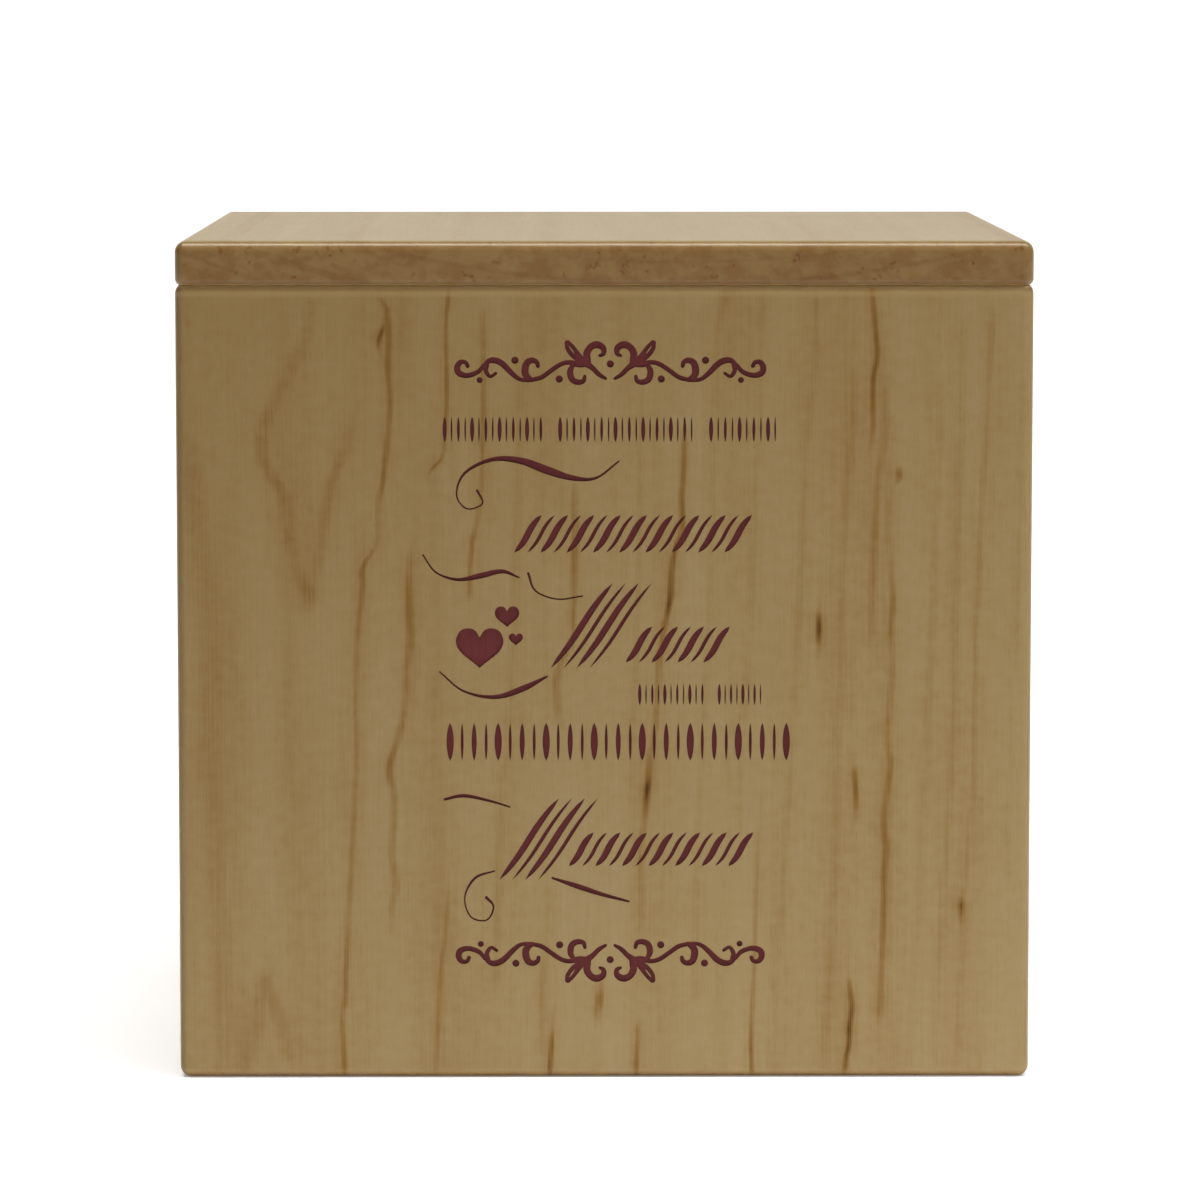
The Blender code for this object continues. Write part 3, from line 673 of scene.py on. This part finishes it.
# Round the box at the seam, light and shade are painted into the colour: the edges beside the groove
# are darkened brown as painted shade, its bottom is lightened as painted light that lifts the
# groove's shadow, and a little lower the walls are lightened as a painted highlight. Each band has a
# middle, a reach to either side, its share there and a colour
SEAM_PAINTED_LIGHT_AND_SHADE = (
    (SEAM_HEIGHT + 0.4 * MM, 0.6 * MM, 0.5, (0.10, 0.045, 0.004, 1)),
    (SEAM_HEIGHT - 0.85 * MM, 0.6 * MM, 0.3, (0.12, 0.06, 0.018, 1)),
    (SEAM_HEIGHT - 0.15 * MM, 0.48 * MM, 0.92, (0.54, 0.36, 0.15, 1)),
    (SEAM_HEIGHT - 1.75 * MM, 0.8 * MM, 0.45, PALE_MAPLE),
)
# Painted light and shade: from a wall's upper left corner to its lower right one the wood is painted
# paler and less yellow, as light falls more strongly low and on the right. The lower right colour's
# share in the middle of the wall's foot, and its growth over the width and height
UPPER_LEFT_PAINTED_SHADE = (0.82, 0.80, 0.775, 1)
LOWER_RIGHT_PAINTED_LIGHT = (1.20, 1.31, 1.58, 1)
PAINTED_LIGHT_AT_FOOT = 0.8
PAINTED_LIGHT_ACROSS = 0.4
PAINTED_LIGHT_UP = -0.6
# Painted shade: along the box's front left edge the wood is darkened, for the shade that falls on
# that side
CORNER_PAINTED_SHADE = 0.48
CORNER_SHADE_REACH = 1.8 * MM
# The lacquer is thin and satin, and follows the fibres and pores below it
SHEEN = (1.0, 0.95, 0.83, 1)
COAT_WEIGHT = 0.15
COAT_ROUGHNESS = 0.27
GLOSS = 0.4
SMOOTH_AND_COARSE_FIBRES = (0.25, 0.75)
UNEVENNESS = 0.05
PORE_DEPTH = -0.35
GRAIN_RELIEF = 0.35
GRAIN_RELIEF_DEPTH = 0.03 * MM


def new_material(name):
    """A material, with its nodes and the one that does its shading."""
    material = bpy.data.materials.new(name)
    material.use_nodes = True
    return material, material.node_tree, material.node_tree.nodes["Principled BSDF"]


def told(tree, name):
    """What lay_grain has told the wood of a piece."""
    return node(tree, "ShaderNodeAttribute", {"attribute_name": name})


def drawn_lines(tree, place, stray):
    """How strongly the drawn year-ring lines show, on their courses or astray from them."""
    waver = streaks(tree, place, *WAVER)
    waver = work_out(tree, "MULTIPLY_ADD", waver, WAVER_REACH, -WAVER_REACH / 2)
    if stray:
        straying = streaks(tree, place, *STRAYING)
        straying = work_out(tree, "MULTIPLY_ADD", straying, stray, -stray / 2)
        waver = work_out(tree, "ADD", waver, straying)
    shifted = place_by(tree, "ADD", place, waver)
    lines = 0.0
    for courses, strength in LINE_STRENGTHS:
        lines = work_out(tree, "MULTIPLY_ADD", ring_lines(tree, shifted, courses), strength, lines)
    return lines


def ring_arcs(tree, place, log_middle):
    """How much darker the year rings are, as arcs round the middle of the log."""
    aside = place_by(tree, "SUBTRACT", place, log_middle)
    aside = place_by(tree, "MULTIPLY", aside, (1, 1, 0))
    inputs = {"W": place_by(tree, "LENGTH", aside), "Scale": RINGS_PER_METRE}
    rings = node(tree, "ShaderNodeTexNoise", {"noise_dimensions": "1D"}, inputs).outputs[0]
    return graded(tree, rings, *RING_SHADES)


def resin_colour(tree, shade):
    """Maple's colour where it holds so much resin."""
    ramp = node(tree, "ShaderNodeValToRGB", inputs={0: shade})
    for position, colour in MAPLE_SHADES[1:-1]:
        ramp.color_ramp.elements.new(position)
    for stop, (position, colour) in zip(ramp.color_ramp.elements, MAPLE_SHADES):
        stop.position = position
        stop.color = colour
    return ramp.outputs[0]


def painted_wall_light(tree, place):
    """Painted light and shade: a wall's colour drifts paler from corner to corner."""
    growth = (PAINTED_LIGHT_ACROSS / WIDTH, 0, PAINTED_LIGHT_UP / HEIGHT)
    share = work_out(tree, "ADD", place_by(tree, "DOT_PRODUCT", place, growth), PAINTED_LIGHT_AT_FOOT)
    return blend(tree, share, UPPER_LEFT_PAINTED_SHADE, LOWER_RIGHT_PAINTED_LIGHT)


def raise_relief(tree, shader, relief, strength, depth):
    """Lets a fine pattern stand up from a surface."""
    inputs = {"Strength": strength, "Distance": depth, "Height": relief}
    bump = node(tree, "ShaderNodeBump", inputs=inputs)
    tree.links.new(bump.outputs[0], shader.inputs["Normal"])


def maple(
    name, lines_drawn=True, stray=0.0, log_middle=None, fibre_contrast=1.0, tint=(1, 1, 1, 1),
    polish=0.35, roughness=0.44, edge_roughness=0.36,
):
    """Maple under a satin lacquer. Its year rings are a wall's drawn lines, or arcs in the log.

    Where a wall isn't the front one, its lines stray from the drawn courses.
    """
    material, tree, shader = new_material(name)
    place = told(tree, "grain").outputs["Vector"]
    end_grain = told(tree, "end_grain").outputs["Fac"]
    rounding = told(tree, "rounding").outputs["Fac"]
    fibres = streaks(tree, place, *FIBRES)
    pores = streaks(tree, place, *PORES)
    patches = streaks(tree, place, *PATCHES)
    shade = USUAL_SHADE
    for pattern, weight in (
        (streaks(tree, place, *BANDS), BAND_WEIGHT),
        (patches, PATCH_WEIGHT),
        (fibres, FIBRE_WEIGHT * fibre_contrast),
        (streaks(tree, place, *MOTTLE), MOTTLE_WEIGHT * fibre_contrast),
    ):
        change = work_out(tree, "MULTIPLY_ADD", pattern, weight, -weight / 2)
        shade = work_out(tree, "ADD", shade, change)
    if lines_drawn:
        lines = drawn_lines(tree, place, stray)
        shade = work_out(tree, "MULTIPLY_ADD", lines, graded(tree, fibres, *LINE_BREAKS), shade)
    if log_middle:
        shade = work_out(tree, "ADD", shade, ring_arcs(tree, place, log_middle))
        specks = graded(tree, streaks(tree, place, *SPECKS), *SPECK_SHADES)
        shade = work_out(tree, "MULTIPLY_ADD", specks, end_grain, shade)
    colour = resin_colour(tree, shade)
    # Painted light and shade across the walls, paler towards their lower right
    if lines_drawn:
        colour = blend(tree, 1.0, colour, painted_wall_light(tree, place), "MULTIPLY")

    spot = node(tree, "ShaderNodeTexCoord").outputs["Object"]
    spot = node(tree, "ShaderNodeSeparateXYZ", inputs={0: spot})
    # Painted shade along the box's front left edge
    from_left = work_out(tree, "ADD", spot.outputs[0], WIDTH / 2)
    from_front = work_out(tree, "SUBTRACT", spot.outputs[1], FRONT)
    from_corner = work_out(tree, "MAXIMUM", from_left, from_front)
    painted_corner_shade = graded(tree, from_corner, 0, CORNER_SHADE_REACH, CORNER_PAINTED_SHADE, 1.0)
    colour = blend(tree, 1.0, colour, painted_corner_shade, "MULTIPLY")
    colour = blend(tree, 1.0, colour, graded(tree, pores, *PORE_SHADES), "MULTIPLY")
    blotches = graded(tree, streaks(tree, place, *BLOTCHES), *BLOTCH_SHARES)
    cut_across = blend(tree, 1.0, colour, END_GRAIN_TINT, "MULTIPLY")
    cut_across = blend(tree, blotches, cut_across, END_GRAIN_BLOTCH, "MULTIPLY")
    # Painted shade for the lid's long grain, which offsets the light and sheen on its top
    colour = blend(tree, 1.0, colour, tint, "MULTIPLY")
    colour = blend(tree, end_grain, colour, cut_across)
    wear = work_out(tree, "MULTIPLY", rounding, graded(tree, patches, *WEAR_SHARES))
    colour = blend(tree, wear, colour, PALE_MAPLE)
    # Bands of painted shade and painted light round the seam
    for middle, reach, share, band_colour in SEAM_PAINTED_LIGHT_AND_SHADE:
        off_middle = work_out(tree, "SUBTRACT", spot.outputs[2], middle)
        off_middle = work_out(tree, "ABSOLUTE", off_middle)
        colour = blend(tree, graded(tree, off_middle, 0, reach, share, 0.0), colour, band_colour)
    tree.links.new(colour, shader.inputs["Base Color"])

    smoothest = roughness - UNEVENNESS * fibre_contrast
    coarsest = roughness + UNEVENNESS * fibre_contrast
    rough = graded(tree, fibres, *SMOOTH_AND_COARSE_FIBRES, smoothest, coarsest)
    rough = work_out(tree, "MULTIPLY_ADD", rounding, edge_roughness - roughness, rough)
    tree.links.new(rough, shader.inputs["Roughness"])
    shader.inputs["Coat Weight"].default_value = COAT_WEIGHT * polish
    shader.inputs["Coat Roughness"].default_value = COAT_ROUGHNESS
    shader.inputs["Specular IOR Level"].default_value = GLOSS * polish
    shader.inputs["Specular Tint"].default_value = SHEEN
    relief = work_out(tree, "MULTIPLY_ADD", pores, PORE_DEPTH, fibres)
    raise_relief(tree, shader, relief, GRAIN_RELIEF * fibre_contrast, GRAIN_RELIEF_DEPTH)
    return material


# The paint is matt, rubbed thin in patches, and a little lumpy where it is thick. It covers all but
# a trace of the fibres
BURGUNDY = (0.123, 0.0207, 0.0206, 1)
WORN_BURGUNDY = (0.145, 0.034, 0.029, 1)
COVERAGE = ((900, 900, 500), 3, 0.6)
WORN_SHARES = (0.45, 0.75, 0.0, 0.35)
FIBRES_SHOWING = (0.3, 0.7, 0.92, 1.08)
PAINT_ROUGHNESS = (0.3, 0.7, 0.5, 0.68)
PAINT_GLOSS = 0.2
PAINT_LUMPS = 0.8
PAINT_RELIEF = 0.4
PAINT_RELIEF_DEPTH = 0.04 * MM


def burgundy_paint():
    """The paint in the engraving."""
    material, tree, shader = new_material("burgundy_paint")
    place = told(tree, "grain").outputs["Vector"]
    fibres = streaks(tree, place, *FIBRES)
    coverage = streaks(tree, place, *COVERAGE)
    colour = blend(tree, graded(tree, coverage, *WORN_SHARES), BURGUNDY, WORN_BURGUNDY)
    colour = blend(tree, 1.0, colour, graded(tree, fibres, *FIBRES_SHOWING), "MULTIPLY")
    tree.links.new(colour, shader.inputs["Base Color"])
    tree.links.new(graded(tree, coverage, *PAINT_ROUGHNESS), shader.inputs["Roughness"])
    shader.inputs["Specular IOR Level"].default_value = PAINT_GLOSS
    relief = work_out(tree, "MULTIPLY_ADD", coverage, PAINT_LUMPS, fibres)
    raise_relief(tree, shader, relief, PAINT_RELIEF, PAINT_RELIEF_DEPTH)
    return material


wall_maple = maple("wall_maple")
paint = burgundy_paint()
WALL_LOW = (-WIDTH / 2, -DEPTH / 2, 0)
WALL_HIGH = (WIDTH / 2, DEPTH / 2, SEAM_HEIGHT + SEAM_TRIM)

front_board = mitred_board("urn_front_board", 0)
front_board.data.materials.append(wall_maple)
cut_out(front_board, [bottom_recess()] + engrave_ornaments() + engrave_rows()
        + [engrave("hearts", [heart(*place) for place in HEARTS])])
lay_grain(front_board, WALL_LOW, WALL_HIGH, (1, 0, 0), (0, 0, 1), 0)
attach(front_board, "root")
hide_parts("front_board")

# Right, back and left boards. They are sawn from the same log as the front one, so they have the
# same kind of lines on other courses. They are mitred and rounded in the same way, and left plain
STRAY = 60 * MM
side_maple = maple("side_maple", stray=STRAY)
PLAIN_BOARDS = {
    "right_board": {"turn": 90, "across": (0, -1, 0)},
    "back_board": {"turn": 180, "across": (1, 0, 0)},
    "left_board": {"turn": 270, "across": (0, 1, 0)},
}
for number, (name, side) in enumerate(PLAIN_BOARDS.items(), start=1):
    board = mitred_board("urn_" + name, radians(side["turn"]))
    board.data.materials.append(side_maple)
    cut_out(board, [bottom_recess()])
    lay_grain(board, WALL_LOW, WALL_HIGH, side["across"], (0, 0, 1), number)
    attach(board, "root")
    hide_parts(name)

# Bottom panel. A plain panel of thinner maple whose grain runs front to back. It is let into the
# walls from below, flush with their lower edges, and glued
PANEL_INSET = WALL_THICKNESS - BOTTOM_LET_IN + BOTTOM_GAP
PANEL_LOW = (-WIDTH / 2 + PANEL_INSET, -DEPTH / 2 + PANEL_INSET, 0)
PANEL_HIGH = (WIDTH / 2 - PANEL_INSET, DEPTH / 2 - PANEL_INSET, BOTTOM_THICKNESS)
PANEL_EASING = 0.3 * MM
# The middle of its log lay 0.3 m below it, and board number 4 is taken 4 m through the wood
PANEL_NUMBER = 4
PANEL_LOG_MIDDLE = (0.02, 4.3, 0)

bottom_maple = maple("bottom_maple", lines_drawn=False, log_middle=PANEL_LOG_MIDDLE)
panel_form = rounded_block(PANEL_LOW, PANEL_HIGH, PANEL_EASING)
bottom_panel = wooden_piece("urn_bottom_panel", panel_form)
bottom_panel.data.materials.append(bottom_maple)
lay_grain(
    bottom_panel, PANEL_LOW, PANEL_HIGH, (1, 0, 0), (0, 1, 0), PANEL_NUMBER, PANEL_EASING
)
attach(bottom_panel, "root")
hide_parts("bottom_panel")

# Lid. One maple board whose grain runs front to back, so its front edge is end grain with ring
# arcs. Its edges are rounded, and a step milled below drops inside the walls
LID_STEP = 3 * MM
STEP_CLEARANCE = 0.3 * MM
STEP_EASING = 0.4 * MM
STEP_EASING_STEPS = 2
UPPER_RADIUS = 2.2 * MM
LOWER_RADIUS = 1.3 * MM
LOWER_STEPS = 8
LOWER_TRIM = 0.15 * MM
UNDERSIDE = SEAM_HEIGHT + LID_GAP / 2
LID_LOW = (-WIDTH / 2, -DEPTH / 2, UNDERSIDE - LOWER_TRIM - UPPER_RADIUS)
LID_HIGH = (WIDTH / 2, DEPTH / 2, HEIGHT)
LEVEL_WITHIN = 1e-6


def lying_at(form, height):
    """The faces of a form that lie flat at a height."""
    return [
        face for face in form.faces
        if all(abs(corner.co.z - height) < LEVEL_WITHIN for corner in face.verts)
    ]


def stepped_lid():
    """The lid, upside up, its underside inset and drawn down to the step."""
    form = rounded_block(LID_LOW, LID_HIGH, UPPER_RADIUS)
    saw_off(form, (0, 0, UNDERSIDE - LOWER_TRIM), (0, 0, -1))
    lower_edges = lying_at(form, UNDERSIDE - LOWER_TRIM)[0].edges[:]
    for face in round_over(form, lower_edges, LOWER_RADIUS, LOWER_STEPS):
        face.smooth = True
    saw_off(form, (0, 0, UNDERSIDE), (0, 0, -1))
    reach = WIDTH / 2 - WALL_THICKNESS - STEP_CLEARANCE
    for side in (Vector((1, 0, 0)), Vector((-1, 0, 0)), Vector((0, 1, 0)), Vector((0, -1, 0))):
        low = lying_at(form, UNDERSIDE)
        rims = {edge for face in low for edge in face.edges}
        corners = {vertex for face in low for vertex in face.verts}
        bmesh.ops.bisect_plane(
            form, geom=[*low, *rims, *corners], dist=ON_THE_CUT,
            plane_co=side * reach, plane_no=side,
        )
    below = min(lying_at(form, UNDERSIDE), key=lambda face: face.calc_center_median().xy.length)
    drawn = bmesh.ops.extrude_face_region(form, geom=[below])
    bmesh.ops.delete(form, geom=[below], context="FACES_ONLY")
    moved = [part for part in drawn["geom"] if isinstance(part, bmesh.types.BMVert)]
    bmesh.ops.translate(form, vec=(0, 0, -LID_STEP), verts=moved)
    rim = [part for part in drawn["geom"] if isinstance(part, bmesh.types.BMEdge)]
    round_over(form, rim, STEP_EASING, STEP_EASING_STEPS)
    return form


# The middle of its log lay above it. Its edges are rubbed smooth. Its long grain is painted darker
# and yellower than the walls': painted shade that offsets the strong light and sheen on its top
LID_NUMBER = 5
LID_LOG_MIDDLE = (0.015, 4.6, 0)
LID_PAINTED_SHADE = (0.74, 0.79, 0.71, 1)
lid_maple = maple(
    "lid_maple", lines_drawn=False, log_middle=LID_LOG_MIDDLE, fibre_contrast=0.3, tint=LID_PAINTED_SHADE,
    polish=0.9, roughness=0.52, edge_roughness=0.24,
)
lid = wooden_piece("urn_lid", stepped_lid())
lid.data.materials.append(lid_maple)
lay_grain(lid, LID_LOW, LID_HIGH, (1, 0, 0), (0, 1, 0), LID_NUMBER, UPPER_RADIUS)
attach(lid, "root")
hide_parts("lid")

# Studio. The box stands on a sweep of white paper that rises behind it and glows a little, like
# a light table. A long soft box hangs above its front, a weak one over the camera, and a third
# lights the backdrop
SWEEP_WIDTH = 9
SWEEP_FRONT = -4
SWEEP_BACK = 2.4
SWEEP_HEIGHT = 3.2
SWEEP_BEND = 0.8
SWEEP_BEND_STEPS = 24
PAPER_WHITE = (0.96, 0.96, 0.96, 1)
PAPER_TOOTH = ((300, 300, 300), 3, 0.5)
PAPER_ROUGHNESS = (0.3, 0.7, 0.85, 0.95)
PAPER_GLOSS = 0.1
TABLE_GLOW = 0.24


def paper_sweep():
    """A floor that bends up into a backdrop."""
    form = bmesh.new()
    bmesh.ops.create_grid(form, x_segments=1, y_segments=1, size=0.5)
    bmesh.ops.scale(form, vec=(SWEEP_WIDTH, SWEEP_BACK - SWEEP_FRONT, 1), verts=form.verts)
    bmesh.ops.translate(form, vec=(0, (SWEEP_BACK + SWEEP_FRONT) / 2, 0), verts=form.verts)
    far = [edge for edge in form.edges if all(end.co.y > 0 for end in edge.verts)]
    raised = bmesh.ops.extrude_edge_only(form, edges=far)
    top = [part for part in raised["geom"] if isinstance(part, bmesh.types.BMVert)]
    bmesh.ops.translate(form, vec=(0, 0, SWEEP_HEIGHT), verts=top)
    round_over(form, far, SWEEP_BEND, SWEEP_BEND_STEPS)
    for face in form.faces:
        face.smooth = True
    return wooden_piece("paper_sweep", form)


sweep = paper_sweep()
white_paper, paper_tree, paper_shader = new_material("white_paper")
paper_place = node(paper_tree, "ShaderNodeTexCoord").outputs["Object"]
tooth = streaks(paper_tree, paper_place, *PAPER_TOOTH)
tooth = graded(paper_tree, tooth, *PAPER_ROUGHNESS)
paper_tree.links.new(tooth, paper_shader.inputs["Roughness"])
paper_shader.inputs["Base Color"].default_value = PAPER_WHITE
paper_shader.inputs["Specular IOR Level"].default_value = PAPER_GLOSS
paper_shader.inputs["Emission Color"].default_value = PAPER_WHITE
paper_shader.inputs["Emission Strength"].default_value = TABLE_GLOW
sweep.data.materials.append(white_paper)

# Each soft box has a width and depth, its place, the spot that it faces, and its power in watts
SOFT_BOXES = {
    "strip_light": ((2.2, 0.44), (0.25, -0.24, 1.35), (0.25, -0.08, 0.16), 32),
    "front_light": ((1.6, 1.0), (0.5, -1.2, 1.3), (0.5, -0.08, 0.05), 1.6),
    "back_light": ((3.0, 0.8), (0, 1.0, 1.7), (0, 2.6, 0.5), 22),
}


def soft_box(name, size, place, aim, power):
    """A rectangular soft light at a place, facing another."""
    light = bpy.data.lights.new(name, "AREA")
    light.shape = "RECTANGLE"
    light.size, light.size_y = size
    light.energy = power
    lamp = bpy.data.objects.new(name, light)
    lamp.location = place
    lamp.rotation_euler = (Vector(aim) - Vector(place)).to_track_quat("-Z", "Y").to_euler()
    lamp.visible_camera = False
    bpy.context.scene.collection.objects.link(lamp)


for name, box in SOFT_BOXES.items():
    soft_box(name, *box)

# The air is dark on the left, and glows a little more the further right it lies
AIR_GLOW = (-0.9, 0.9, 0.0, 0.06)
AIR_WHITE = (1, 1, 1, 1)
world = bpy.data.worlds.new("studio_air")
bpy.context.scene.world = world
world.use_nodes = True
air = world.node_tree
direction = node(air, "ShaderNodeTexCoord").outputs["Generated"]
sideways = node(air, "ShaderNodeSeparateXYZ", inputs={0: direction}).outputs[0]
brightness = graded(air, sideways, *AIR_GLOW)
air.links.new(brightness, air.nodes["Background"].inputs["Strength"])
air.nodes["Background"].inputs["Color"].default_value = AIR_WHITE

# Camera. It stands a good metre in front of the box and a little above the lid, and looks slightly
# down at it through a long lens
CAMERA_PLACE = (-0.00808, -1.19791, 0.20647)
LOOKING_DOWN = radians(5.7917)
TURNED_RIGHT = radians(0.3701)
LENS_MM = 174.43
SENSOR_MM = 36
camera_data = bpy.data.cameras.new("camera")
camera_data.lens = LENS_MM
camera_data.sensor_width = SENSOR_MM
camera = bpy.data.objects.new("camera", camera_data)
camera.location = CAMERA_PLACE
camera.rotation_euler = (radians(90) - LOOKING_DOWN, 0, -TURNED_RIGHT)
bpy.context.scene.collection.objects.link(camera)
bpy.context.scene.camera = camera
bpy.context.scene.view_settings.view_transform = "Standard"
